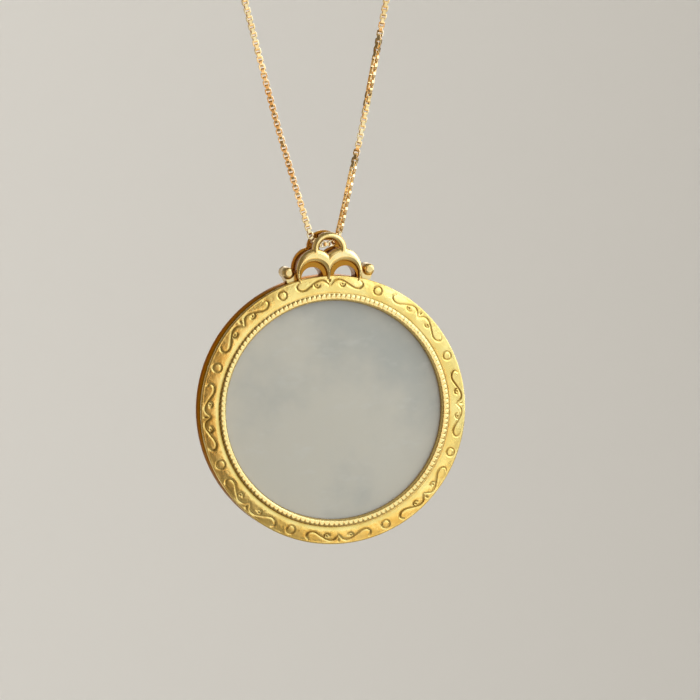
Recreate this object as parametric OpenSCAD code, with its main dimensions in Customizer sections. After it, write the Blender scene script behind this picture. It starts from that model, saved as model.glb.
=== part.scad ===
// Jade disc in an engraved gold frame, hung from a fine gold box chain.
// Sizes are in millimetres. The necklace hangs in the XZ plane as it does when it is
// worn: the front faces -Y, and the origin is where the clasp rests on the nape.

/* [Frame] */
// Outer diameter of the round frame
frame_d = 34; // [32:0.5:36]
// Thickness of the frame, front to back
frame_t = 5; // [4.8:0.1:5.2]
// Width of the engraved band
band_w = 2.2; // [2.1:0.05:2.3]
// How far the band falls away from its inner edge to the rim
band_fall = 0.6; // [0.4:0.1:0.7]
// Width of an engraved line
line_w = 0.22; // [0.18:0.02:0.26]
// Depth of an engraved line
line_depth = 0.15; // [0.1:0.05:0.2]
// Number of beads in the ring of milgrain
bead_count = 152; // [100:4:152]
// Diameter of a milgrain bead
bead_d = 0.56; // [0.4:0.02:0.56]

/* [Jade] */
// Height of the domes on both faces of the disc
jade_dome = 0.3; // [0.2:0.05:0.35]

/* [Bail] */
// Thickness of the bail, front to back
bail_t = 5; // [4.8:0.1:5.2]
// Thickness of the front and the back plate of the bail
plate_t = 0.9; // [0.8:0.05:0.9]
// How far the wall between the plates stands back from their edges
wall_inset = 0.3; // [0.2:0.05:0.3]
// Widest swing that the mouths of the bail leave free on the chain, in degrees
mouth_angle = 38; // [34:1:40]

/* [Chain] */
// Width across the square links of the box chain
chain_w = 0.8; // [0.7:0.05:0.8]

/* [Clasp] */
// Length of the barrel clasp
clasp_l = 10; // [9.5:0.5:11]
// Diameter of the barrel clasp
clasp_d = 2.6; // [2.2:0.1:3]

/* [Hidden] */
$fn = 96;
gold = [0.86, 0.67, 0.31];
polished_gold = [0.93, 0.76, 0.42];
jade = [0.69, 0.68, 0.65];
fit = 0.08;
past = 1;

// Radii of the frame from its edge to the visible jade
frame_r = frame_d / 2;
band_inner = frame_r - band_w;
groove_w = 0.2;
land_outer = band_inner - groove_w;
land_w = 0.62;
land_inner = land_outer - land_w;
lip_w = 0.18;
lip_inner = land_inner - lip_w;
bead_ring_r = land_outer - land_w / 2;

// Heights on the frame, measured from its middle plane towards the front
face = frame_t / 2;
rim_face = face - band_fall;
groove_floor = face - 0.35;
land = face - 0.3;
lip_top = face - 0.25;
jade_half_rim = 1.7;
pocket_half = jade_half_rim + fit;
jade_r = lip_inner + 0.52;
pocket_r = jade_r + fit;
edge_round = 0.25;
small_round = 0.05;
rim_step_top = rim_face - 0.35;
rim_step_bottom = rim_step_top - 0.35;
rim_step_depth = 0.15;
back_edge = 0.5;
back_lip_inner = lip_inner - 0.1;
back_lip_edge = 0.3;

// Ornament on the band: eight groups of scrolls with a ringed dot between each pair
ornament_count = 8;
ring_dot_inset = 1;
ring_dot_r = 0.41;
ring_dot_rise = 0.1;
scroll_dot_r = 0.2;
scroll_dot_rise = 0.1;
// Long scroll: degrees from the middle of the group, distance in from the frame's edge
long_scroll = [
    [0.15, 1.2], [1.2, 0.9], [2.2, 0.62], [3.6, 0.5], [5.2, 0.56], [7, 0.79], [9, 1.08],
    [10.6, 1.3], [12, 1.4], [13.4, 1.36], [14.5, 1.17], [15, 0.9], [14.8, 0.64], [14, 0.45]
];
// Small curl that leaves the long scroll, in the same two columns
small_curl = [
    [6.9, 0.82], [6.9, 1.05], [6.5, 1.24], [5.7, 1.33], [4.9, 1.27], [4.5, 1.1]
];
// Raised dots held by the two curls, in the same two columns
scroll_dots = [[12.6, 0.72], [5.7, 1.02]];
// Short stroke in the middle of the group, in the same two columns
middle_stroke = [[0, 0.42], [0, 0.75]];

// Places on the bail, measured up from the middle of the frame
arch_r = 2.1;
arch_hole_r = 1.37;
arch_y = frame_r + 3.35;
arch_foot_y = frame_r + 2.45;
lobe_r = 2.45;
lobe_x = 1.65;
lobe_y = frame_r + 0.65;
lobe_hole_r = 1.6;
lobe_hole_x = 1.95;
lobe_hole_y = frame_r + 0.1;
wall_hole_r = 1.3;
wall_hole_x = 2;
wall_hole_y = frame_r - 0.3;
flank_top_y = frame_r + 3.3;
bridge_half_w = 0.6;
bridge_y = frame_r + 4.45;
lobe_puff = 0.4;
arch_puff = 0.35;
knob_r = 0.64;
knob_x = 5;
knob_y = frame_r + 0.5;
knob_puff = 0.4;
knob_l = 3.5;
stem_front = 0.4;
sink_r = frame_r - 0.4;
plate_z = bail_t / 2 - plate_t;
mouth_inner = 1.15;
mouth_outer = 2.6;
mouth_foot = 0.4;
mouth_h = 1.8;

// Half of the chain's route: distance from the middle, height above its lowest point.
// It leaves the bail at the slope of the hanging strands, and closes in a round top.
route_half = [
    [0, 0], [0.6, 0], [1.1, 0.2], [1.5, 0.55], [1.75, 1], [1.9, 1.5], [2.45, 3.5], [3.5, 7.5],
    [4.5, 11.3], [5.5, 15.2], [7.2, 22.5], [9, 30.4], [12.3, 45], [15.6, 60], [18.8, 75],
    [21.9, 90], [24.95, 105], [27.95, 120], [30.9, 135], [33.4, 148], [35.6, 160],
    [36.1, 166.1], [35.4, 172.2], [33.6, 178.1], [30.6, 183.5], [26.7, 188.2], [21.9, 192.1],
    [16.5, 195], [10.6, 196.7], [4.5, 197.3]
];
chain_sides = 8;
last = len(route_half) - 1;
route_top = route_half[last][1];
hang_z = clasp_d / 2 - route_top;
chain_y = frame_r + 3.85;
frame_z = hang_z - chain_y;
route = concat(
    [for (i = [last:-1:1]) [-route_half[i][0], 0, hang_z + route_half[i][1]]],
    [for (row = route_half) [row[0], 0, hang_z + row[1]]]
);
socket_r = 0.6;
socket_gap = 0.3;

// Corner with the round r, from the side to the top, as points of an outline
function round_corner(x, y, r) = [for (a = [0:22.5:90]) [x - r + r * cos(a), y - r + r * sin(a)]];
// Mouth of a hole that widens by the round r up to the height y
function flared_corner(x, y, r) = [for (a = [180:-22.5:90]) [x + r + r * cos(a), y - r + r * sin(a)]];
// Outline of a bar that lies on the axis of a rotate_extrude, with its ends rounded by r
function bar_outline(bar_r, half_l, r) = concat(
    [[0, -half_l]],
    [for (a = [-90:22.5:0]) [bar_r - r + r * cos(a), r - half_l + r * sin(a)]],
    [for (a = [0:22.5:90]) [bar_r - r + r * cos(a), half_l - r + r * sin(a)]],
    [[0, half_l]]
);
// Height of the band's sloping face at the radius r
slope_start = band_inner + small_round;
slope_end = frame_r - edge_round;
function band_height(r) = face - band_fall * (r - slope_start) / (slope_end - slope_start);
// Point on the band, seen flat, from a table row
function on_band(row) = (frame_r - row[1]) * [sin(row[0]), cos(row[0])];
// Outline of a line of width w along points on the band, slimmer at both ends
function line_outline(rows, w) =
    let (
        p = [for (row = rows) on_band(row)],
        n = len(p) - 1,
        side = [for (i = [0:n]) let (
            d = p[min(i + 1, n)] - p[max(i - 1, 0)],
            half_w = (i == 0 || i == n ? 0.6 : 1) * w / 2
        ) [-d[1], d[0]] / norm(d) * half_w]
    )
    concat([for (i = [0:n]) p[i] + side[i]], [for (i = [n:-1:0]) p[i] - side[i]]);

// Puts what is drawn flat, with its front up, into the hanging pendant
module in_pendant() {
    translate([0, 0, frame_z]) rotate([90, 0, 0]) children();
}

// Round of the frame in section: band, groove, bead land, lip, jade pocket and stepped rim
module frame_ring() {
    rotate_extrude() polygon(concat(
        [
            [lip_inner, pocket_half],
            [lip_inner, pocket_half + small_round],
            [land_inner - 2 * small_round, lip_top],
            [land_inner - small_round, lip_top],
            [land_inner, land],
            [land_outer, land],
            [land_outer + small_round, groove_floor],
            [band_inner - small_round, groove_floor],
            [band_inner, face - small_round],
            [band_inner + small_round, face]
        ],
        [for (a = [90:-22.5:0])
            [frame_r - edge_round + edge_round * cos(a), rim_face - edge_round + edge_round * sin(a)]],
        [
            [frame_r, rim_step_top],
            [frame_r - rim_step_depth, rim_step_top - rim_step_depth],
            [frame_r - rim_step_depth, rim_step_bottom],
            [frame_r - small_round, rim_step_bottom - rim_step_depth],
            [frame_r - small_round, back_edge - face],
            [frame_r - back_edge, -face],
            [back_lip_inner + back_lip_edge, -face],
            [back_lip_inner, back_lip_edge - face],
            [back_lip_inner, -pocket_half],
            [pocket_r, -pocket_half],
            [pocket_r, pocket_half]
        ]
    ));
}

// One line of the ornament, as tall as the frame's front half
module cut_line(rows) {
    linear_extrude(face + past) polygon(line_outline(rows, line_w));
}

// Dot of radius r that rises by h above the band, on the spot that a table row gives
module dot(row, r, h) {
    ball_r = (r * r + h * h) / (2 * h);
    place_r = frame_r - row[1];
    tilt = atan(band_fall / (slope_end - slope_start));
    rotate(-row[0]) translate([0, place_r, band_height(place_r)]) rotate([-tilt, 0, 0]) intersection() {
        translate([0, 0, -line_depth - small_round]) cylinder(r = r, h = past);
        translate([0, 0, h - ball_r]) sphere(ball_r);
    }
}

// What the graver takes out: the ornament's lines, down to line_depth under the sloping face
module band_cuts() {
    intersection() {
        rotate_extrude() polygon([
            [slope_start, face - line_depth],
            [slope_end, rim_face - line_depth],
            [slope_end, face + past / 2],
            [slope_start, face + past / 2]
        ]);
        union() for (i = [0:ornament_count - 1]) rotate(i * 360 / ornament_count) {
            for (side = [0, 1]) mirror([side, 0, 0]) {
                cut_line(long_scroll);
                cut_line(small_curl);
            }
            cut_line(middle_stroke);
            rotate(180 / ornament_count) translate([0, frame_r - ring_dot_inset, 0])
                cylinder(r = ring_dot_r + line_w, h = face + past);
        }
    }
}

module band_dots() {
    for (i = [0:ornament_count - 1]) rotate(i * 360 / ornament_count) {
        dot([180 / ornament_count, ring_dot_inset], ring_dot_r, ring_dot_rise);
        for (side = [0, 1]) mirror([side, 0, 0])
            for (row = scroll_dots) dot(row, scroll_dot_r, scroll_dot_rise);
    }
}

module milgrain() {
    for (i = [0:bead_count - 1]) rotate(i * 360 / bead_count)
        translate([0, bead_ring_r, land]) sphere(d = bead_d, $fn = 24);
}

// Disc whose front edge is puffed with the round puff, on the plane between plate and wall
module puffed_disc(r, puff) {
    translate([0, 0, plate_z])
        rotate_extrude()
            polygon(concat([[0, 0], [r, 0]], round_corner(r, plate_t, puff), [[0, plate_t]]));
}

// Hole through a plate whose mouth opens with the round puff
module puffed_hole(r, puff) {
    translate([0, 0, plate_z])
        rotate_extrude() polygon(concat(
            [[0, -past], [r, -past]],
            flared_corner(r, plate_t, puff),
            [[r + puff, plate_t + past], [0, plate_t + past]]
        ));
}

// Half plane beyond x = 0, as a solid wide enough for the bail
module right_half() {
    translate([0, 0, -bail_t]) cube([4 * lobe_r, 2 * frame_r, 2 * bail_t]);
}

// Front plate of the bail: an arch that stands on two lobes
module plate() {
    for (side = [0, 1]) mirror([side, 0, 0]) intersection() {
        difference() {
            translate([lobe_x, lobe_y, 0]) puffed_disc(lobe_r, lobe_puff);
            translate([lobe_hole_x, lobe_hole_y, 0]) puffed_hole(lobe_hole_r, lobe_puff);
        }
        right_half();
    }
    intersection() {
        translate([0, arch_y, 0]) difference() {
            puffed_disc(arch_r, arch_puff);
            puffed_hole(arch_hole_r, arch_puff);
        }
        translate([-arch_r - past, arch_foot_y, 0]) cube([2 * arch_r + 2 * past, 2 * arch_r, bail_t]);
    }
}

// Wall between the plates: lobes, flanks that stop below the chain, and a bridge above it
module wall() {
    wall_t = 2 * plate_z + 0.2;
    translate([0, 0, -wall_t / 2]) {
        for (side = [0, 1]) mirror([side, 0, 0]) intersection() {
            difference() {
                translate([lobe_x, lobe_y, 0]) cylinder(r = lobe_r - wall_inset, h = wall_t);
                translate([wall_hole_x, wall_hole_y, -past])
                    cylinder(r = wall_hole_r, h = wall_t + 2 * past);
            }
            right_half();
        }
        intersection() {
            difference() {
                translate([0, arch_y, 0]) cylinder(r = arch_r - wall_inset, h = wall_t);
                translate([0, arch_y, -past]) cylinder(r = arch_hole_r, h = wall_t + 2 * past);
            }
            translate([-arch_r, arch_foot_y, -past])
                cube([2 * arch_r, flank_top_y - arch_foot_y, wall_t + 2 * past]);
        }
        intersection() {
            translate([0, arch_y, 0]) cylinder(r = arch_r - wall_inset, h = wall_t);
            translate([-bridge_half_w, bridge_y, -past])
                cube([2 * bridge_half_w, arch_r, wall_t + 2 * past]);
        }
    }
}

// Rounded knob beside each foot of the bail, on a short stem
module knobs() {
    for (side = [0, 1]) mirror([side, 0, 0]) {
        translate([knob_x, knob_y, 0])
            rotate_extrude() polygon(bar_outline(knob_r, knob_l / 2, knob_puff));
        translate([0, 0, stem_front - knob_l / 2]) linear_extrude(knob_l - 2 * stem_front) polygon([
            [lobe_x + 1.55, frame_r - 1],
            [knob_x + 0.1, frame_r - 1],
            [knob_x + 0.6, knob_y - 0.1],
            [knob_x, knob_y],
            [lobe_x + 1.9, knob_y - 0.2]
        ]);
    }
}

// Fans that clear the chain's strands from the plates as the pendant swings
module mouths() {
    top_half_w = mouth_foot + mouth_h * tan(mouth_angle) + 0.1;
    for (side = [0, 1]) mirror([side, 0, 0])
        translate([mouth_inner, chain_y + mouth_foot, 0]) rotate([0, 90, 0])
            linear_extrude(mouth_outer - mouth_inner) polygon([
                [-plate_z, 0],
                [plate_z, 0],
                [top_half_w, mouth_h - mouth_foot],
                [-top_half_w, mouth_h - mouth_foot]
            ]);
}

module bail() {
    difference() {
        union() {
            plate();
            mirror([0, 0, 1]) plate();
            wall();
            knobs();
        }
        translate([0, 0, -bail_t]) cylinder(r = sink_r, h = 2 * bail_t);
        mouths();
    }
}

// Frame, milgrain and bail are soldered into one piece
module gold_frame() {
    color(gold) in_pendant() {
        difference() {
            frame_ring();
            band_cuts();
        }
        band_dots();
        milgrain();
        bail();
    }
}

// Disc with a low dome on both faces
module jade_disc() {
    dome_steps = 8;
    rows = [for (i = [dome_steps:-1:0]) let (f = i / dome_steps)
        [jade_r * f, jade_half_rim + jade_dome * (1 - f * f)]];
    color(jade) in_pendant() rotate_extrude()
        polygon(concat(rows, [for (i = [dome_steps:-1:0]) [rows[i][0], -rows[i][1]]]));
}

// Points of the chain's section across the route at point i
function chain_ring(i) =
    let (
        n = len(route) - 1,
        d = route[min(i + 1, n)] - route[max(i - 1, 0)],
        across = [-d[2], 0, d[0]] / norm(d),
        r = chain_w / 2 / cos(180 / chain_sides)
    )
    [for (k = [0:chain_sides - 1]) let (a = (k + 0.5) * 360 / chain_sides)
        route[i] + r * cos(a) * across + [0, r * sin(a), 0]];

module chain() {
    rings = len(route);
    points = [for (i = [0:rings - 1]) each chain_ring(i)];
    sides = [for (i = [0:rings - 2], k = [0:chain_sides - 1]) let (
        a = i * chain_sides + k,
        b = i * chain_sides + (k + 1) % chain_sides
    ) [a, b, b + chain_sides, a + chain_sides]];
    ends = [
        [for (k = [chain_sides - 1:-1:0]) k],
        [for (k = [0:chain_sides - 1]) (rings - 1) * chain_sides + k]
    ];
    color(polished_gold) polyhedron(points, concat(sides, ends));
}

module clasp() {
    color(polished_gold) translate([0, 0, clasp_d / 2]) rotate([0, 90, 0]) difference() {
        rotate_extrude() polygon(bar_outline(clasp_d / 2, clasp_l / 2, clasp_d / 4));
        for (side = [0, 1]) mirror([0, 0, side])
            translate([0, 0, route_half[last][0] - socket_gap]) cylinder(r = socket_r, h = clasp_l);
    }
}

gold_frame();
jade_disc();
chain();
clasp();
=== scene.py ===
"""Jade disc in an engraved gold frame on a fine box chain.

The piece is drawn in millimetres, and MM turns them into metres as each mesh is made. The studio is in metres.
"""
import math

import bpy
import numpy as np
from mathutils import Matrix, Vector


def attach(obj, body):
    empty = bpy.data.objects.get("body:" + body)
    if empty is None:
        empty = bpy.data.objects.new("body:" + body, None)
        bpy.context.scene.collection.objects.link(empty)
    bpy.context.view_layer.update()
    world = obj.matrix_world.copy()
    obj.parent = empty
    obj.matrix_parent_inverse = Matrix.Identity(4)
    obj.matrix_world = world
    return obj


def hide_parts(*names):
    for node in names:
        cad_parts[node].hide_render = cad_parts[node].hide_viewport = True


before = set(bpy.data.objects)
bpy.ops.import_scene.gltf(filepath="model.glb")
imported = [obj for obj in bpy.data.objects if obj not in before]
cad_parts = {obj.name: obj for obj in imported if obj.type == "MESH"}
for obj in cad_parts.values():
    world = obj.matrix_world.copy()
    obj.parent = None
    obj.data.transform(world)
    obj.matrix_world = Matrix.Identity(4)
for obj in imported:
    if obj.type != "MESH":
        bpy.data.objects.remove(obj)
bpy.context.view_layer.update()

MM = 0.001

# Where the pendant hangs, measured up from the nape
BAIL_AXIS = -196.0
CHAIN_ABOVE_CENTRE = 20.85
FRAME_CENTRE = BAIL_AXIS - CHAIN_ABOVE_CENTRE

# Frame, measured from its centre: radius, and height towards the front
FRAME_R, FACE, EDGE_ROUND = 17.0, 2.5, 0.25
BAND_INNER, BAND_FALL, BAND_CURVE = 14.80, 0.60, 1.6
DIP, DIP_REACH = 0.08, 0.28
RIM_FACE = FACE - BAND_FALL
RIM_STEP = RIM_FACE - 0.35
LIP_INNER = 13.80
BEAD_COUNT, NOTCH_DEPTH = 144, 0.10
POCKET_R, POCKET_HALF = 14.40, 1.78
JADE_R, JADE_HALF_RIM, JADE_DOME = 14.32, 1.70, 0.30

# Points round each ring, for the milgrain round each bead, and rows of them across a form
BAND_STEPS, RIM_STEPS, BEAD_STEPS, JADE_STEPS, CLASP_STEPS = 1600, 680, 14, 256, 72
BAND_ROWS, ROUNDING_ROWS, JADE_ROWS = 46, 7, 26

# Ornament: degrees from the middle of its group, distance in from the frame's edge
ORNAMENT_COUNT = 8
LONG_SCROLL = [
    (0.15, 1.20), (1.2, 0.90), (2.2, 0.62), (3.6, 0.50), (5.2, 0.56), (7.0, 0.79), (9.0, 1.08),
    (10.6, 1.30), (12.0, 1.40), (13.4, 1.36), (14.5, 1.17), (15.0, 0.90), (14.8, 0.64), (14.0, 0.45),
]
SMALL_CURL = [(6.9, 0.82), (6.9, 1.05), (6.5, 1.24), (5.7, 1.33), (4.9, 1.27), (4.5, 1.10)]
MIDDLE_STROKE = [(0.0, 0.42), (0.0, 0.58), (0.0, 0.75)]
SCROLL_END, CURL_EYE = (12.9, 0.80), (5.8, 1.05)
RING_DOT_IN, RING_LINE_R = 1.0, 0.53
LINE_DEPTH, EYE_DEPTH, RING_DEPTH = 0.15, 0.16, 0.12
# A graved line in section, as shares of its depth with their reach, and the share left at its ends
LINE_SHAPE, LINE_END = ((0.88, 0.11), (0.12, 0.24)), 0.65

# Bail, measured up from the frame's centre
ARCH_Y, ARCH_R, ARCH_HOLE_R, ARCH_FOOT_Y = 20.35, 2.14, 1.29, 19.15
LOBE_X, LOBE_Y, LOBE_R, LOBE_STRETCH = 1.65, 17.65, 2.45, 1.13
LOBE_HOLE_X, LOBE_HOLE_Y, LOBE_HOLE_R = 1.95, 17.1, 1.76
WALL_HOLE_X, WALL_HOLE_Y, WALL_HOLE_R = 2.06, 16.72, 1.42
WALL_INSET, FLANK_TOP_Y, BRIDGE_HALF, BRIDGE_Y = 0.3, 20.3, 0.6, 21.45
KNOB_X, KNOB_Y, KNOB_R, KNOB_HALF, KNOB_ROUND = 5.08, 17.5, 0.72, 1.75, 0.50
SEAM_Z, SEAM_DEPTH, SEAM_REACH = 1.08, 0.09, 0.09
# The stem's outer side leans out as it goes up, and its top falls away outward
STEM_OUTER, STEM_OUTER_Y, STEM_LEAN = 5.7, 17.4, 0.42
STEM_TOP_Y, STEM_TOP_X, STEM_DROP = 17.45, 5.0, 0.1
STEM_INNER, STEM_HALF = 3.4, 1.3
MOUTH_INNER, MOUTH_OUTER, MOUTH_FOOT, MOUTH_SPREAD = 1.15, 2.6, 0.4, 0.754
BAIL_HALF, PLATE_BACK, PLATE_EDGE, WALL_OVERLAP = 2.5, 1.6, 0.06, 0.1
SMALL_FILLET, FILLET, MOUTH_FILLET = 0.10, 0.12, 0.08
DOME_DROP, ARCH_DOME, LOBE_DOME = 0.38, 0.42, 0.60
SINK_R = 16.6
# The wax was pressed a little out of true, so the right half is wider and the arch leans that way
RIGHT_WIDER, ARCH_WIDER, ARCH_LEAN = 1.04, 1.05, 0.14
# Room round the bail, and the size of the cells in which its surface is looked for
BAIL_LOW, BAIL_HIGH, BAIL_CELL = (-5.9, 16.2, -2.7), (5.9, 22.7, 2.7), 0.085

# Half of the chain's route: distance from the middle, height above the bail's axis
ROUTE_HALF = [
    (0, 0), (0.6, 0), (1.1, 0.2), (1.5, 0.55), (1.75, 1), (1.9, 1.5), (2.45, 3.5), (3.5, 7.5),
    (4.5, 11.3), (5.5, 15.2), (7.2, 22.5), (9, 30.4), (12.3, 45), (15.6, 60), (18.8, 75),
    (21.9, 90), (24.95, 105), (27.95, 120), (30.9, 135), (33.4, 148), (35.6, 160),
    (36.1, 166.1), (35.4, 172.2), (33.6, 178.1), (30.6, 183.5), (26.7, 188.2), (21.9, 192.1),
    (16.5, 195), (10.6, 196.7), (4.5, 197.3),
]
# How far the chain has turned about itself, in degrees, at a height above the bail's axis
TWIST_RIGHT = [
    (0, 180), (0.8, 165), (2, 146), (9, 142), (12.5, 95), (16, 88), (19.5, 60), (22.5, 54),
    (25.5, 28), (28, 4), (34, -3), (60, 8), (100, -6), (150, 5), (198, 0),
]
TWIST_LEFT = [
    (0, 180), (2, 178), (5, 172), (9, 164), (19, 165), (23, 172), (27, 180), (31, 182),
    (60, 186), (100, 175), (150, 184), (198, 180),
]
LINK_LENGTH, LINK_WIDTH, LINK_STRIP, LINK_METAL = 0.89, 0.80, 0.45, 0.16
LINK_PITCH, LINK_BEND, LINK_REACH, CHAIN_END = 0.527, 0.13, 0.3, 0.3
CLASP_R = 1.30


# ---- Shaping ----

def new_piece(name, points, faces, material, sharp_angle=None, tarnish_and_shade=None):
    """A mesh piece from points in metres, smooth except where faces meet at more than sharp_angle."""
    mesh = bpy.data.meshes.new(name)
    faces = faces.tolist() if isinstance(faces, np.ndarray) else faces
    mesh.from_pydata(np.asarray(points).tolist(), [], faces)
    mesh.update()
    mesh.shade_smooth()
    if sharp_angle is not None:
        mesh.set_sharp_from_angle(angle=math.radians(sharp_angle))
    # Each point keeps how far it is painted darker, for tarnished hollows and for painted shade
    if tarnish_and_shade is not None:
        values = np.ravel(tarnish_and_shade).astype(np.float32)
        mesh.attributes.new("tarnish_and_shade", "FLOAT", "POINT").data.foreach_set("value", values)
    mesh.materials.append(material)
    piece = bpy.data.objects.new(name, mesh)
    bpy.context.scene.collection.objects.link(piece)
    return piece


def hang(points):
    """Points drawn flat round the frame's centre, front up, put into the hanging pendant in metres."""
    p = np.asarray(points, float)
    return np.stack([p[..., 0], -p[..., 2], p[..., 1] + FRAME_CENTRE], -1) * MM


def sheet_faces(rows, columns, join_rows=False, join_columns=True):
    """Quads over a grid of points, joined up round its columns, and round its rows if asked."""
    r = np.arange(rows if join_rows else rows - 1)[:, None]
    c = np.arange(columns if join_columns else columns - 1)[None, :]
    r2, c2 = (r + 1) % rows, (c + 1) % columns
    corners = [r * columns + c, r * columns + c2, r2 * columns + c2, r2 * columns + c]
    return np.stack(corners, -1).reshape(-1, 4)


def rings(profile, steps):
    """Radius, angle and height of every point of a profile that is turned round the frame's middle."""
    angle = np.linspace(0, 2 * math.pi, steps, endpoint=False)
    radius, turn = np.meshgrid(profile[:, 0], angle, indexing="ij")
    return radius, turn, np.repeat(profile[:, 1:2], steps, 1)


def ring_points(radius, turn, height):
    """Points in mm from the frame's centre, with the angle counted from the top."""
    return np.stack([radius * np.sin(turn), radius * np.cos(turn), height], -1).reshape(-1, 3)


def turned_piece(name, radius, turn, height, material, sharp_angle, tarnish_and_shade):
    """A part of the frame made of rings of points, which follow one another outward on its front."""
    faces = sheet_faces(*radius.shape)[:, ::-1]
    return new_piece(name, hang(ring_points(radius, turn, height)), faces, material, sharp_angle, tarnish_and_shade)


def smooth_line(points, per_span=6):
    """A curve through the points, with per_span short steps between each two."""
    p = np.asarray(points, float)
    p = np.vstack([2 * p[0] - p[1], p, 2 * p[-1] - p[-2]])
    t = np.linspace(0, 1, per_span, endpoint=False)[:, None]
    spans = [
        0.5 * (2 * b + (c - a) * t + (2 * a - 5 * b + 4 * c - d) * t**2 + (3 * b - a - 3 * c + d) * t**3)
        for a, b, c, d in zip(p[:-3], p[1:-2], p[2:-1], p[3:])
    ]
    return np.vstack(spans + [p[-2:-1]])


def distance_to_line(x, y, line):
    """How far each place is from a line of short steps, and how far along the line that is, 0 to 1."""
    best, along = np.full(x.shape, 9.0), np.zeros(x.shape)
    steps = len(line) - 1
    for i, ((ax, ay), (bx, by)) in enumerate(zip(line[:-1], line[1:])):
        dx, dy = bx - ax, by - ay
        t = np.clip(((x - ax) * dx + (y - ay) * dy) / (dx * dx + dy * dy + 1e-12), 0, 1)
        d = np.hypot(x - ax - t * dx, y - ay - t * dy)
        along = np.where(d < best, (i + t) / steps, along)
        best = np.minimum(best, d)
    return best, along


def bell(distance, reach):
    """1 at no distance, then a soft fall to about a third at the reach and to nothing beyond it."""
    return np.exp(-((distance / reach) ** 2))


def soldered(a, b, fillet):
    """The smaller of two distances, with a soft fillet where the two forms meet."""
    h = np.clip(0.5 + 0.5 * (b - a) / fillet, 0, 1)
    return b + (a - b) * h - fillet * h * (1 - h)


def within_both(a, b, edge):
    """Distance to what lies inside two limits, with the edge between them rounded."""
    a, b = a + edge, b + edge
    return np.minimum(np.maximum(a, b), 0) + np.hypot(np.maximum(a, 0), np.maximum(b, 0)) - edge


# ---- Finishes ----

def colour(code):
    """Linear colour with alpha from an sRGB hex code such as #F0C96E."""
    parts = [int(code[i:i + 2], 16) / 255 for i in (1, 3, 5)]
    return [v / 12.92 if v <= 0.04045 else ((v + 0.055) / 1.055) ** 2.4 for v in parts] + [1.0]


def add(tree, kind, settings=(), links=()):
    """Adds a node. settings go to its own properties or its inputs, and links join inputs to outputs."""
    node = tree.nodes.new(kind)
    for key, value in dict(settings).items():
        if isinstance(key, str) and hasattr(node, key):
            setattr(node, key, value)
        else:
            node.inputs[key].default_value = value
    for key, output in dict(links).items():
        tree.links.new(output, node.inputs[key])
    return node


def per_mm(size):
    """Texture scale at which one feature is size across."""
    return 1.0 / (size * MM)


def start_finish(name, settings):
    """A material with its principled shader, and coordinates in metres from the frame's centre."""
    material = bpy.data.materials.new(name)
    material.use_nodes = True
    tree = material.node_tree
    tree.nodes.clear()
    shader = add(tree, "ShaderNodeBsdfPrincipled", settings)
    add(tree, "ShaderNodeOutputMaterial", links={"Surface": shader.outputs[0]})
    place = add(tree, "ShaderNodeTexCoord").outputs["Object"]
    to_centre = {"operation": "ADD", 1: (0, 0, -FRAME_CENTRE * MM)}
    place = add(tree, "ShaderNodeVectorMath", to_centre, {0: place})
    return material, tree, shader, place.outputs[0]


def ramp(tree, value, low, high, out_low=0.0, out_high=1.0):
    """The value's way from low to high, as a smooth step from out_low to out_high."""
    return add(tree, "ShaderNodeMapRange", {
        "interpolation_type": "SMOOTHSTEP", "From Min": low, "From Max": high,
        "To Min": out_low, "To Max": out_high}, {"Value": value}).outputs["Result"]


def blend_colours(tree, factor, first, second):
    """Between two colours, each an sRGB hex code or another node's colour."""
    node = add(tree, "ShaderNodeMix", {"data_type": "RGBA"}, {0: factor})
    for socket, value in ((6, first), (7, second)):
        if isinstance(value, str):
            node.inputs[socket].default_value = colour(value)
        else:
            tree.links.new(value, node.inputs[socket])
    return node.outputs[2]


def noise(tree, place, size, detail=3.0, roughness=0.5):
    """Cloudy value with features size across."""
    settings = {"Scale": per_mm(size), "Detail": detail, "Roughness": roughness}
    return add(tree, "ShaderNodeTexNoise", settings, {"Vector": place}).outputs["Fac"]


def tarnish_and_shade_on(tree):
    """How dark the surface is painted at a point, 0 to 1, for tarnished hollows and for painted shade, as its
    mesh says.
    """
    return add(tree, "ShaderNodeAttribute", {"attribute_name": "tarnish_and_shade"}).outputs["Fac"]


# Yellow gold, cast, then blasted to a satin face: broad soft highlights, and brown in the engraved
# lines that is tarnished metal darkened further with painted shade, with painted shade too in the step by the
# milgrain at the lower left. The grain of the blasting is about 0.02 mm and is drawn at 0.14 mm, or it would
# not show.
satin_gold, t, shader, place = start_finish("satin_cast_gold", {"Metallic": 1.0})
mottle = noise(t, place, 2.6, detail=4.0)
face_colour = blend_colours(t, ramp(t, mottle, 0.35, 0.65), "#F0CC74", "#F9DC8A")
# The dark brown is tarnished metal with painted shade over it in the lines, and painted shade in the step at
# the lower left
t.links.new(blend_colours(t, tarnish_and_shade_on(t), face_colour, "#6C4C0E"), shader.inputs["Base Color"])
t.links.new(ramp(t, noise(t, place, 1.2), 0.3, 0.7, 0.24, 0.34), shader.inputs["Roughness"])
waves = add(t, "ShaderNodeBump", {"Strength": 0.9, "Distance": 0.06 * MM}, {"Height": noise(t, place, 0.5)})
grain = add(t, "ShaderNodeBump", {"Strength": 0.5, "Distance": 0.01 * MM}, {
    "Height": noise(t, place, 0.14, detail=2.0), "Normal": waves.outputs[0]})
t.links.new(grain.outputs[0], shader.inputs["Normal"])

# The same gold, filed and polished by hand on the rim: sharp reflections, softened by fine wear,
# with painted shade in the step round the side, down the back edge and in the rebate.
rim_gold, t, shader, place = start_finish("polished_rim_gold", {
    "Metallic": 1.0, "Specular Tint": colour("#C48E48")})
worn = noise(t, place, 0.9, detail=5.0, roughness=0.6)
rim_colour = blend_colours(t, ramp(t, worn, 0.4, 0.7), "#E8BE6A", "#F2CE84")
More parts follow.
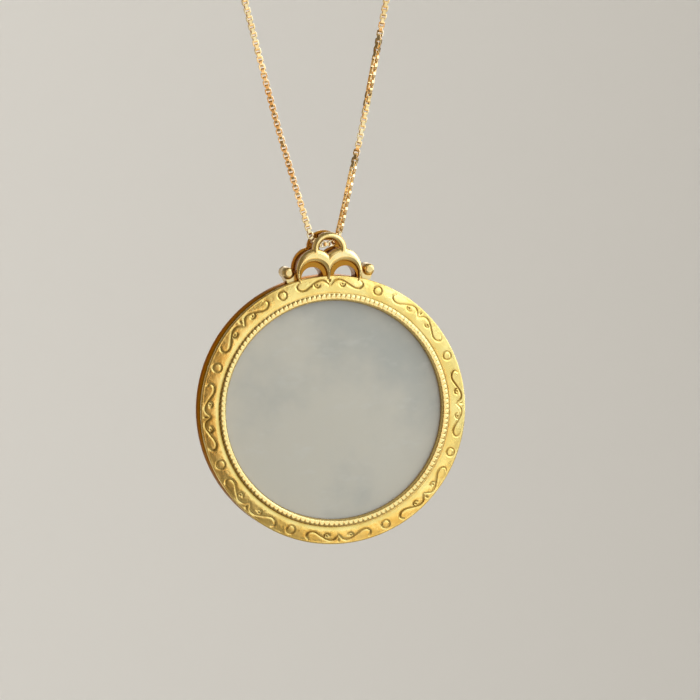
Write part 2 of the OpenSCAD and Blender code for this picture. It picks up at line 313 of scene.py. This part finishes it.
# The dark brown is painted shade
t.links.new(blend_colours(t, tarnish_and_shade_on(t), rim_colour, "#5A3A0C"), shader.inputs["Base Color"])
t.links.new(ramp(t, worn, 0.3, 0.75, 0.16, 0.30), shader.inputs["Roughness"])
t.links.new(add(t, "ShaderNodeBump", {"Strength": 0.15, "Distance": 0.01 * MM}, {
    "Height": noise(t, place, 0.5)}).outputs[0], shader.inputs["Normal"])

# Gold beads raised with a milgrain wheel: bright crowns, with painted shade down between them,
# on the lip's slope by the stone and in the step outside, where there is some tarnished metal too.
bead_gold, t, shader, place = start_finish("milgrain_gold", {"Metallic": 1.0})
# The dark colour is painted shade, with some tarnished metal in the step outside the beads
t.links.new(blend_colours(t, tarnish_and_shade_on(t), "#FADF96", "#9A7020"), shader.inputs["Base Color"])
t.links.new(ramp(t, noise(t, place, 0.8), 0.3, 0.7, 0.22, 0.30), shader.inputs["Roughness"])

# Cast gold of the bail, tumbled rather than blasted: soft gloss on the rounded plates,
# and painted shade, a deeper ochre, on the walls between them.
bail_gold, t, shader, place = start_finish("tumbled_bail_gold", {"Metallic": 1.0})
mottle = noise(t, place, 1.6)
plate_colour = blend_colours(t, ramp(t, mottle, 0.35, 0.65), "#F7D88E", "#FCE4A6")
# The ochre is painted shade on the walls between the plates
t.links.new(blend_colours(t, tarnish_and_shade_on(t), plate_colour, "#AE7628"), shader.inputs["Base Color"])
t.links.new(ramp(t, mottle, 0.3, 0.7, 0.24, 0.31), shader.inputs["Roughness"])
t.links.new(add(t, "ShaderNodeBump", {"Strength": 0.2, "Distance": 0.02 * MM}, {
    "Height": noise(t, place, 0.6)}).outputs[0], shader.inputs["Normal"])

# Drawn gold strip, folded into links and polished: small bright flats.
chain_gold, t, shader, place = start_finish("drawn_chain_gold", {"Metallic": 1.0})
tone = ramp(t, noise(t, place, 2.4), 0.35, 0.65)
t.links.new(blend_colours(t, tone, "#F0C98A", "#FADFAE"), shader.inputs["Base Color"])
t.links.new(ramp(t, noise(t, place, 0.7), 0.3, 0.7, 0.12, 0.22), shader.inputs["Roughness"])

# Nephrite, ground and polished: grey white with faint clouds, and light that sinks in a
# little before it comes back. It is greyer to the upper right, and one small dark
# inclusion lies high up, left of the middle.
jade, t, shader, place = start_finish("polished_nephrite", {
    "IOR": 1.61, "Subsurface Weight": 0.25, "Subsurface Radius": (1.0, 0.95, 0.8),
    "Subsurface Scale": 0.9 * MM})
to_upper_right = {"operation": "DOT_PRODUCT", 1: (0.7, 0, 0.7)}
lean = add(t, "ShaderNodeVectorMath", to_upper_right, {0: place}).outputs["Value"]
cloud = add(t, "ShaderNodeMath", {"operation": "SUBTRACT"}, {
    0: noise(t, place, 11.0, detail=4.0, roughness=0.55),
    1: ramp(t, lean, 1.0 * MM, 12.0 * MM, 0.0, 0.28)}).outputs[0]
flattened = add(t, "ShaderNodeVectorMath", {"operation": "MULTIPLY", 1: (1, 1, 2.2)}, {0: place}).outputs[0]
veil = noise(t, flattened, 3.2, detail=5.0, roughness=0.6)
at_inclusion = {"operation": "DISTANCE", 1: (-1.2 * MM, -1.5 * MM, 6.85 * MM)}
away = add(t, "ShaderNodeVectorMath", at_inclusion, {0: place}).outputs["Value"]
body = blend_colours(t, ramp(t, cloud, 0.15, 0.55), "#B3B2AA", "#CDC7B9")
body = blend_colours(t, ramp(t, veil, 0.52, 0.75, 0.0, 0.3), body, "#D2D0C8")
body = blend_colours(t, ramp(t, away, 0.26 * MM, 0.06 * MM, 0.0, 0.75), body, "#7E776C")
t.links.new(body, shader.inputs["Base Color"])
t.links.new(ramp(t, veil, 0.3, 0.7, 0.13, 0.19), shader.inputs["Roughness"])


# ---- Engraved band and the rest of the frame ----

def on_band(rows):
    """Points on the flat band, from the frame's centre, that an ornament table's rows give."""
    a, inward = np.radians([row[0] for row in rows]), np.array([row[1] for row in rows])
    return np.stack([(FRAME_R - inward) * np.sin(a), (FRAME_R - inward) * np.cos(a)], -1)


def carved(x, y, line):
    """A line cut with a round graver, its shoulders rubbed soft. It fades where the tool went in and out."""
    distance, along = distance_to_line(x, y, line)
    swell = LINE_END + (1 - LINE_END) * np.clip(np.minimum(along, 1 - along) * 6, 0, 1)
    return -LINE_DEPTH * swell * sum(share * bell(distance, reach) for share, reach in LINE_SHAPE)


def relief(radius, angle):
    """Height of the ornament on the band at each radius and angle."""
    group_step = 2 * math.pi / ORNAMENT_COUNT
    group = np.round(angle / group_step)
    off = angle - group * group_step
    # Each half of a group was cut by hand, so it leans, lies and sinks in a little differently
    halves = 2 * ORNAMENT_COUNT
    half = (group * 2 + (off > 0)).astype(int) % halves
    random = np.random.default_rng(5)
    lean, shift = random.normal(0, 0.15, halves), random.normal(0, 0.025, halves)
    force = random.uniform(0.75, 1.15, halves)
    a, r = np.abs(off) + np.radians(lean[half]), radius + shift[half]
    x, y = r * np.sin(a), r * np.cos(a)
    lift = np.zeros(radius.shape)
    for rows in (LONG_SCROLL, SMALL_CURL, MIDDLE_STROKE):
        lift = np.minimum(lift, carved(x, y, smooth_line(on_band(rows))))
    lift *= force[half]
    # The long scroll curls round a low boss, the small one round a hole drilled for it
    (boss_x, boss_y), (eye_x, eye_y) = on_band([SCROLL_END, CURL_EYE])
    lift += 0.025 * bell(np.hypot(x - boss_x, y - boss_y), 0.22)
    lift = np.minimum(lift, -EYE_DEPTH * bell(np.hypot(x - eye_x, y - eye_y), 0.14))
    # Low dot in a ring, halfway between two groups
    a = group_step / 2 - np.abs(off)
    from_dot = np.hypot(radius * np.sin(a), radius * np.cos(a) - (FRAME_R - RING_DOT_IN))
    lift = np.minimum(lift, -RING_DEPTH * bell(from_dot - RING_LINE_R, 0.10))
    return lift + 0.02 * bell(from_dot, 0.30)


def fall(radius):
    """How far the band lies below the frame's front. It drops towards the rim, and dips by the milgrain."""
    outward = max(radius - BAND_INNER, 0) / (FRAME_R - BAND_INNER)
    return DIP * bell(radius - BAND_INNER, DIP_REACH) + BAND_FALL * outward ** BAND_CURVE


def band_profile():
    """Radius and height from the foot of the milgrain, over the engraved face, to the rounded outer edge."""
    foot = [(14.80, FACE - 0.11), (14.82, FACE - 0.105), (14.845, FACE - 0.09), (14.87, FACE - 0.08)]
    outer = FRAME_R - EDGE_ROUND
    face = [(r, FACE - fall(r)) for r in np.linspace(BAND_INNER + 0.10, outer, BAND_ROWS)]
    edge = FACE - fall(outer)
    rounding = [(FRAME_R - EDGE_ROUND * (1 - math.sin(a)), edge - EDGE_ROUND * (1 - math.cos(a)))
                for a in np.radians(np.linspace(12, 90, ROUNDING_ROWS))]
    return np.array(foot + face + rounding + [(FRAME_R, RIM_STEP)])


def painted_shade_lower_left(radius, angle):
    """How dark the painted shade in the step outside the milgrain is, 0 to 1. It is darkest at the lower left,
    the side turned away from the light.
    """
    lower_left = np.clip(np.cos(angle - math.radians(240)), 0, 1)
    return 0.9 * lower_left * bell(radius - BAND_INNER + 0.04, 0.16)


def make_band():
    """Front face of the frame with its engraved ornament."""
    radius, turn, height = rings(band_profile(), BAND_STEPS)
    lift = relief(radius, turn)
    # The ornament dies out by the milgrain and by the rounded edge
    lift *= np.clip((radius - BAND_INNER - 0.05) / 0.1, 0, 1) * np.clip((FRAME_R - 0.15 - radius) / 0.1, 0, 1)
    # Dark in the engraved lines for tarnished metal, made darker as painted shade, and painted shade in the
    # step at the lower left
    in_line = np.clip((-lift / LINE_DEPTH - 0.35) / 0.65, 0, 1) ** 1.2
    tarnish_and_painted_shade = np.maximum(painted_shade_lower_left(radius, turn), in_line * 0.85)
    return turned_piece("engraved_band", radius, turn, height + lift, satin_gold, 50, tarnish_and_painted_shade)


def make_rim():
    """Side with its step, back, and rebate for the stone."""
    # Radius, height and how dark the painted shade is there
    step, back = RIM_STEP, -FACE
    profile = np.array([
        (FRAME_R, step, 0.2), (16.99, step - 0.02, 0.5), (16.87, step - 0.12, 1), (16.85, step - 0.17, 1),
        (16.85, step - 0.33, 1), (16.87, step - 0.38, 1), (16.94, step - 0.47, 0.6),
        (16.95, step - 0.50, 0.4), (16.95, -0.2, 0.4), (16.95, -0.9, 0.75), (16.95, back + 0.70, 0.9),
        (16.92, back + 0.53, 0.9), (16.85, back + 0.37, 0.9), (16.73, back + 0.20, 0.7),
        (16.57, back + 0.07, 0.4), (16.38, back, 0.1), (14.02, back, 0.1), (13.86, back + 0.04, 0.1),
        (13.73, back + 0.17, 0.2), (13.70, back + 0.29, 0.4), (13.70, -POCKET_HALF, 1),
        (POCKET_R, -POCKET_HALF, 1), (POCKET_R, POCKET_HALF, 1), (LIP_INNER, POCKET_HALF, 0.8)])
    tarnish_and_shade = np.repeat(profile[:, 2:3], RIM_STEPS, 1)
    piece = turned_piece("polished_rim", *rings(profile, RIM_STEPS), rim_gold, 42, tarnish_and_shade)
    piece.modifiers.new("flats_stay_flat", "WEIGHTED_NORMAL").keep_sharp = True
    return piece


def make_beads():
    """Bezel lip whose sloping edge holds the stone, rolled along its crest with a milgrain wheel."""
    # Radius, depth below the frame's front, how much deeper a notch between two beads goes, and how dark it is
    # painted: shade on the lip's slope, shade with some tarnished metal towards the step
    across = np.array([
        (LIP_INNER, 0.72, 0, 0.8), (LIP_INNER + 0.01, 0.50, 0, 0.7), (13.84, 0.33, 0, 0.5),
        (13.89, 0.20, 0, 0.25), (13.95, 0.08, 0, 0.05), (14.02, -0.01, 0, 0), (14.09, -0.055, 0.01, 0),
        (14.18, -0.075, 0.03, 0), (14.28, -0.085, 0.05, 0), (14.38, -0.09, 0.07, 0), (14.48, -0.085, 0.09, 0),
        (14.56, -0.06, 0.10, 0.05), (14.63, 0.0, 0.09, 0.1), (14.69, 0.065, 0.05, 0.2),
        (14.75, 0.105, 0.01, 0.3), (14.80, 0.11, 0, 0.3)])
    line, below, deep, tarnish_and_shade = (across[:, i:i + 1] for i in range(4))
    formed = deep / NOTCH_DEPTH
    steps = BEAD_COUNT * BEAD_STEPS
    cell = np.arange(steps) / BEAD_STEPS
    bead = np.floor(cell).astype(int)
    to_notch = np.abs(2 * (cell - bead) - 1)
    # Each bead came out of the wheel a little different in height, reach and place
    random = np.random.default_rng(11)
    rise, shift, lean = (random.normal(0, spread, BEAD_COUNT)[bead] for spread in (0.010, 0.008, 0.03))
    height = FACE - below + formed * rise - deep * to_notch ** 2.6
    radius = line + formed * shift
    turn = 2 * math.pi * (np.arange(steps) + lean * BEAD_STEPS * (1 - to_notch)) / steps
    turn = np.broadcast_to(turn, radius.shape)
    # Painted shade also darkens the notches between the beads and the step at the lower left
    tarnish_and_painted_shade = np.clip(tarnish_and_shade + 0.3 * formed * to_notch ** 5 + painted_shade_lower_left(radius, turn), 0, 1)
    return turned_piece("milgrain", radius, turn, height, bead_gold, 70, tarnish_and_painted_shade)


# ---- Bail ----

def domed_plate(outline, height, dome):
    """Distance to a plate of the bail, domed across its width towards its open side."""
    front = BAIL_HALF - DOME_DROP * np.clip(1 + outline / dome, 0, 1) ** 2
    return np.maximum(within_both(outline, height - front, PLATE_EDGE), PLATE_BACK - height)


def bail_distance(p):
    """How far each point, in mm from the frame's centre, is outside the cast bail."""
    x, y, z = p[..., 0], p[..., 1], np.abs(p[..., 2])
    from_arch = np.hypot(x / np.where(x > 0, ARCH_WIDER, 1.0) - ARCH_LEAN, y - ARCH_Y)
    x = np.abs(x / np.where(x > 0, RIGHT_WIDER, 1.0))
    arch = np.maximum.reduce([from_arch - ARCH_R, ARCH_HOLE_R - from_arch, ARCH_FOOT_Y - y])
    lobe = np.hypot(x - LOBE_X, (y - LOBE_Y) / LOBE_STRETCH) - LOBE_R
    opening = LOBE_HOLE_R - np.hypot(x - LOBE_HOLE_X, y - LOBE_HOLE_Y)
    plates = soldered(domed_plate(arch, z, ARCH_DOME),
                      domed_plate(np.maximum(lobe, opening), z, LOBE_DOME), SMALL_FILLET)
    # Walls between the plates: behind each lobe, up the arch's flanks, and across its top
    wall_hole = WALL_HOLE_R - np.hypot(x - WALL_HOLE_X, y - WALL_HOLE_Y)
    inset_arch = from_arch - ARCH_R + WALL_INSET
    wall = np.minimum.reduce([
        np.maximum(lobe + WALL_INSET, wall_hole),
        np.maximum.reduce([inset_arch, ARCH_HOLE_R - from_arch, ARCH_FOOT_Y - y, y - FLANK_TOP_Y]),
        np.maximum.reduce([inset_arch, x - BRIDGE_HALF, BRIDGE_Y - y])])
    body = soldered(plates, np.maximum(wall, z - PLATE_BACK - WALL_OVERLAP), FILLET)
    # Knob with domed ends and a turned seam, on a tapering stem
    seam = SEAM_DEPTH * bell(z - SEAM_Z, SEAM_REACH)
    knob = within_both(np.hypot(x - KNOB_X, y - KNOB_Y) - KNOB_R + seam, z - KNOB_HALF, KNOB_ROUND)
    stem = np.maximum.reduce([
        x - STEM_OUTER - (y - STEM_OUTER_Y) * STEM_LEAN, STEM_INNER - x,
        y - STEM_TOP_Y + (x - STEM_TOP_X) * STEM_DROP, z - STEM_HALF])
    body = soldered(body, soldered(knob, stem, SMALL_FILLET), FILLET)
    # Fans cut away so that the chain's strands can swing between the plates. The 0.8 turns
    # the height over a fan's sloping side into the distance from it.
    up = y - CHAIN_ABOVE_CENTRE
    opened = z - PLATE_BACK - (up - MOUTH_FOOT) * MOUTH_SPREAD
    fan = np.maximum.reduce([MOUTH_INNER - x, x - MOUTH_OUTER, MOUTH_FOOT - up, opened * 0.8])
    body = -soldered(-body, fan, MOUTH_FILLET)
    return np.maximum(body, SINK_R - np.hypot(x, y))


def cast_surface(distance, low, high, step):
    """Quads over the surface where distance is 0, one point in each small cell that it crosses."""
    counts = [int(round((b - a) / step)) + 1 for a, b in zip(low, high)]
    axes = [a + step * np.arange(n) for a, n in zip(low, counts)]
    grid = np.stack(np.meshgrid(*axes, indexing="ij"), -1)
    inside = distance(grid) < 0
    cells = np.array(counts) - 1
    corners = sum(inside[i:i + cells[0], j:j + cells[1], k:k + cells[2]].astype(int)
                  for i in (0, 1) for j in (0, 1) for k in (0, 1))
    crossed = (corners > 0) & (corners < 8)
    number = np.full(crossed.shape, -1)
    number[crossed] = np.arange(crossed.sum())
    points = grid[:-1, :-1, :-1][crossed] + step / 2
    # Each point is drawn onto the surface along the slope of the distance
    nudge = 0.01
    for _ in range(6):
        d = distance(points)
        slope = np.stack([distance(points + e) - distance(points - e) for e in np.eye(3) * nudge], -1)
        slope /= 2 * nudge
        steepness = np.maximum((slope**2).sum(-1, keepdims=True), 0.25)
        points -= np.clip(d, -step, step)[:, None] * slope / steepness
    # A quad joins the four cells round each grid line that goes through the surface
    faces = []
    for axis in range(3):
        b, c = (axis + 1) % 3, (axis + 2) % 3
        first = np.take(inside, range(cells[axis]), axis)
        second = np.take(inside, range(1, counts[axis]), axis)
        places = np.argwhere(first != second)
        for i in (b, c):
            places = places[(places[:, i] > 0) & (places[:, i] < cells[i])]
        ring = []
        for back_b, back_c in ((0, 0), (1, 0), (1, 1), (0, 1)):
            cell = places.copy()
            cell[:, b] -= back_b
            cell[:, c] -= back_c
            ring.append(number[tuple(cell.T)])
        quads = np.stack(ring, -1)
        outward = first[tuple(places.T)]
        faces.append(np.where(outward[:, None], quads, quads[:, ::-1]))
    return points, np.vstack(faces)


def make_bail():
    """Cast bail: two plates with walls between them, and a knob on each side."""
    points, faces = cast_surface(bail_distance, BAIL_LOW, BAIL_HIGH, BAIL_CELL)
    # Painted shade: ochre on the walls between the plates, except on the knobs, which stand clear of them
    x, z = np.abs(points[:, 0]), np.abs(points[:, 2])
    between = np.clip((1.98 - z) / 0.22, 0, 1) * (1 - 0.75 * np.clip((x - 4.3) / 0.15, 0, 1))
    return new_piece("cast_bail", hang(points), faces, bail_gold, 45, between)


# ---- Stone ----

def make_jade():
    """Thick disc, slightly domed on both faces, whose edge goes in under the lip."""
    radius = np.linspace(0.4, JADE_R, JADE_ROWS)
    top = JADE_HALF_RIM + JADE_DOME * (1 - (radius / JADE_R) ** 2)
    profile = np.concatenate([np.stack([radius, top], -1), np.stack([radius, -top], -1)[::-1]])
    points = ring_points(*rings(profile, JADE_STEPS))
    # The small hole that is left in each face closes on a point in its middle
    front, back, last_row = len(points), len(points) + 1, len(points) - JADE_STEPS
    thick = JADE_HALF_RIM + JADE_DOME
    points = np.vstack([points, [(0, 0, thick), (0, 0, -thick)]])
    here = range(JADE_STEPS)
    ahead = [(i + 1) % JADE_STEPS for i in here]
    faces = sheet_faces(len(profile), JADE_STEPS).tolist()
    faces += [[front, j, i] for i, j in zip(here, ahead)]
    faces += [[back, last_row + i, last_row + j] for i, j in zip(here, ahead)]
    return new_piece("jade", hang(points), faces, jade, 50)


# ---- Chain and clasp ----

def link_form():
    """One square link of folded strip, lying in the plane of its first two coordinates."""
    corner_l, corner_w = (LINK_LENGTH - LINK_METAL) / 2 - LINK_BEND, (LINK_WIDTH - LINK_METAL) / 2 - LINK_BEND
    path = []
    for corner, (side_l, side_w) in enumerate(((1, 1), (-1, 1), (-1, -1), (1, -1))):
        for a in np.radians([corner * 90, corner * 90 + 45, corner * 90 + 90]):
            path.append((corner_l * side_l, corner_w * side_w, math.cos(a), math.sin(a)))
    half_m, half_s = LINK_METAL / 2, LINK_STRIP / 2
    section = [(half_m, -half_s + 0.03), (half_m, half_s - 0.03), (half_m - 0.04, half_s),
               (-half_m, half_s), (-half_m, -half_s), (half_m - 0.04, -half_s)]
    points = [(cx + ux * (LINK_BEND + out), cy + uy * (LINK_BEND + out), w)
              for cx, cy, ux, uy in path for out, w in section]
    return np.array(points), sheet_faces(len(path), len(section), join_rows=True)


def chain_path():
    """Dense points of the chain's whole route, left end to right end, with the length so far."""
    right = [(x, BAIL_AXIS + h) for x, h in ROUTE_HALF]
    points = smooth_line([(-x, z) for x, z in right[:0:-1]] + right, 24)
    length = np.concatenate([[0], np.cumsum(np.hypot(*np.diff(points, axis=0).T))])
    return points, length


def make_chain():
    """Every link of the box chain, each turned a quarter against the one before it."""
    points, length = chain_path()

    def at(place):
        return np.stack([np.interp(place, length, points[:, i]) for i in (0, 1)], -1)

    count = int((length[-1] - CHAIN_END) / LINK_PITCH)
    start = (length[-1] - (count - 1) * LINK_PITCH) / 2
    where = start + LINK_PITCH * np.arange(count)
    x, z = at(where).T
    ahead = at(where + LINK_REACH) - at(where - LINK_REACH)
    ahead /= np.linalg.norm(ahead, axis=1, keepdims=True)
    height = z - BAIL_AXIS
    twist = np.where(x >= 0, np.interp(height, *zip(*TWIST_RIGHT)), np.interp(height, *zip(*TWIST_LEFT)))
    wobble = np.random.default_rng(3).normal(0, 1.5, count)
    twist = np.radians(twist + wobble + 90 * (np.arange(count) % 2))
    form, faces = link_form()
    depth = np.array([0, 1, 0])
    all_points, all_faces = [], []
    for i in range(count):
        along = np.array([ahead[i, 0], 0, ahead[i, 1]])
        across = np.array([-ahead[i, 1], 0, ahead[i, 0]])
        side = math.cos(twist[i]) * across + math.sin(twist[i]) * depth
        axes = np.stack([along, side, np.cross(along, side)])
        all_points.append(np.array([x[i], 0, z[i]]) + form @ axes)
        all_faces.append(faces + i * len(form))
    return new_piece("box_chain", np.vstack(all_points) * MM, np.vstack(all_faces), chain_gold, 30)


def make_clasp():
    """Plain turned barrel in two halves that screw together, with a fine seam and a line by each end."""
    # Distance from the seam, radius
    half = [(0.02, 1.22), (0.10, 1.29), (0.16, CLASP_R), (3.40, CLASP_R), (3.46, 1.22), (3.56, 1.22),
            (3.62, CLASP_R), (4.10, 1.29), (4.50, 1.18), (4.80, 0.95), (4.97, 0.68), (5.0, 0.62),
            (4.97, 0.60), (4.2, 0.60), (4.2, 0.02)]
    profile = [(-x, r) for x, r in half[::-1]] + half
    angle = np.linspace(0, 2 * math.pi, CLASP_STEPS, endpoint=False)
    points = [(x, r * math.sin(a), CLASP_R + r * math.cos(a)) for x, r in profile for a in angle]
    faces = sheet_faces(len(profile), CLASP_STEPS)
    piece = new_piece("barrel_clasp", np.array(points) * MM, faces, chain_gold, 35)
    piece.modifiers.new("flats_stay_flat", "WEIGHTED_NORMAL").keep_sharp = True
    return piece


# ---- Putting it together ----

for make, finish_slot, node, body in (
    (make_band, "satin_gold", "gold_frame", "pendant"),
    (make_rim, "satin_gold", "gold_frame", "pendant"),
    (make_beads, "satin_gold", "gold_frame", "pendant"),
    (make_bail, "satin_gold", "gold_frame", "pendant"),
    (make_jade, "jade", "jade_disc", "pendant"),
    (make_chain, "polished_gold", "chain", "chain_and_clasp"),
    (make_clasp, "polished_gold", "clasp", "chain_and_clasp"),
):
    made = make()
    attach(made, body)
    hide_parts(node)

# ---- Studio: pale sweep, soft lights, long lens ----

sweep_finish = bpy.data.materials.new("pale_paper_sweep")
sweep_finish.use_nodes = True
paper = sweep_finish.node_tree.nodes["Principled BSDF"]
paper.inputs["Base Color"].default_value = colour("#E4E2DE")
paper.inputs["Roughness"].default_value = 0.9
# The wall stands far enough back for a camera to look at the piece from behind
FLOOR_Z, WALL_Y, BEND_R, SWEEP_HALF, SWEEP_TOP = -1.0, 4.2, 0.6, 3.5, 2.5
bend = [(WALL_Y - BEND_R * (1 - math.sin(a)), FLOOR_Z + BEND_R * (1 - math.cos(a)))
        for a in np.radians(np.linspace(0, 90, 24))]
run = [(-SWEEP_HALF, FLOOR_Z)] + bend + [(WALL_Y, SWEEP_TOP)]
sweep_points = [(x, y, z) for y, z in run for x in (-SWEEP_HALF, SWEEP_HALF)]
sweep = new_piece("sweep", sweep_points, sheet_faces(len(run), 2, join_columns=False), sweep_finish)

MIDDLE = Vector((0, 0, FRAME_CENTRE * MM))


def direction(azimuth, elevation):
    """The way out from the pendant, in degrees from straight in front of it, to the right and up."""
    a, e = math.radians(azimuth), math.radians(elevation)
    return Vector((math.sin(a) * math.cos(e), -math.cos(a) * math.cos(e), math.sin(e)))


def soft_light(name, azimuth, elevation, distance, size, radiance, tint="#FFFFFF", target=MIDDLE):
    """Soft box that stands out from the pendant in a direction and shines at the target."""
    data = bpy.data.lights.new(name, "AREA")
    data.shape, data.size, data.size_y = "RECTANGLE", *size
    data.energy = radiance * math.pi * size[0] * size[1]
    data.color = colour(tint)[:3]
    lamp = bpy.data.objects.new(name, data)
    lamp.location = MIDDLE + distance * direction(azimuth, elevation)
    lamp.rotation_euler = (lamp.location - target).to_track_quat("Z", "Y").to_euler()
    lamp.visible_camera = False
    bpy.context.scene.collection.objects.link(lamp)


soft_light("wide", 24, 6, 0.80, (1.00, 1.02), 1.08, "#DCF0FF")
soft_light("lamp", -13, 2, 0.76, (0.32, 0.60), 0.70, "#FFCE9C")
soft_light("sky", -2, 48, 0.80, (0.74, 0.26), 0.7, "#FFF6E4")
soft_light("fill", 26, -36, 0.80, (0.60, 0.34), 0.8, "#FFE0A4")
soft_light("key", 52, 46, 0.45, (0.34, 0.34), 1.7, "#E8F4FF")
soft_light("rim", 84, 20, 0.60, (0.44, 0.70), 2.6, "#E8F4FF")
soft_light("backdrop", 180, 10, 3.0, (1.8, 0.9), 3.0, target=Vector((0, WALL_Y, -0.6)))
# These shine outward, on the paper beyond the piece
soft_light("paper_right", 45, 22, 1.75, (1.6, 1.0), 3.5, target=Vector((2.6, -2.6, FLOOR_Z)))
soft_light("paper_back_right", 120, 22, 1.2, (1.6, 1.0), 4.5, target=Vector((2.6, 1.5, FLOOR_Z)))
soft_light("paper_back_left", -120, 22, 1.2, (1.6, 1.0), 4.5, target=Vector((-2.6, 1.5, FLOOR_Z)))
soft_light("back", 150, 15, 0.9, (0.8, 0.8), 1.2)
soft_light("side", -105, 10, 0.9, (0.5, 0.7), 0.3, "#FFD8A0")

world = bpy.data.worlds.new("studio")
world.use_nodes = True
t = world.node_tree
room = t.nodes["Background"]
room.inputs["Color"].default_value = colour("#F0E0BE")
room.inputs["Strength"].default_value = 0.2
# Past the paper's edges there is a pale wall, too far away to light the piece
far_wall = add(t, "ShaderNodeBackground", {"Color": colour("#CBC7BE")})
seen = add(t, "ShaderNodeLightPath").outputs["Is Camera Ray"]
both = add(t, "ShaderNodeMixShader", links={0: seen, 1: room.outputs[0], 2: far_wall.outputs[0]})
t.links.new(both.outputs[0], t.nodes["World Output"].inputs["Surface"])
bpy.context.scene.world = world

# The lens stood 11.5 degrees to the left and 5 degrees above, and was tipped 2 degrees clockwise
LENS_AZIMUTH, LENS_ELEVATION, LENS_TIP = -11.5, 5.0, math.radians(2.0)
LENS_DISTANCE, VIEW_WIDTH, FILM_WIDTH = 1.200, 0.0882, 36.0
to_lens = direction(LENS_AZIMUTH, LENS_ELEVATION)
level = Vector((math.cos(math.radians(LENS_AZIMUTH)), math.sin(math.radians(LENS_AZIMUTH)), 0))
upright = to_lens.cross(level)
right = math.cos(LENS_TIP) * level - math.sin(LENS_TIP) * upright
up = math.sin(LENS_TIP) * level + math.cos(LENS_TIP) * upright
# It was aimed a little to the right of the stone's middle and above it
AIM_FRONT, AIM_RIGHT, AIM_UP = 1.5 * MM, 0.00216, 0.00752
aim = MIDDLE + Vector((0, -AIM_FRONT, 0)) + right * AIM_RIGHT + up * AIM_UP
lens = bpy.data.cameras.new("lens")
lens.sensor_width, lens.lens = FILM_WIDTH, FILM_WIDTH * LENS_DISTANCE / VIEW_WIDTH
lens.clip_start, lens.clip_end = 0.01, 20.0
camera = bpy.data.objects.new("lens", lens)
turned = Matrix((right, up, to_lens)).transposed().to_4x4()
camera.matrix_world = Matrix.Translation(aim + to_lens * LENS_DISTANCE) @ turned
bpy.context.scene.collection.objects.link(camera)
bpy.context.scene.camera = camera
bpy.context.scene.view_settings.view_transform = "Standard"
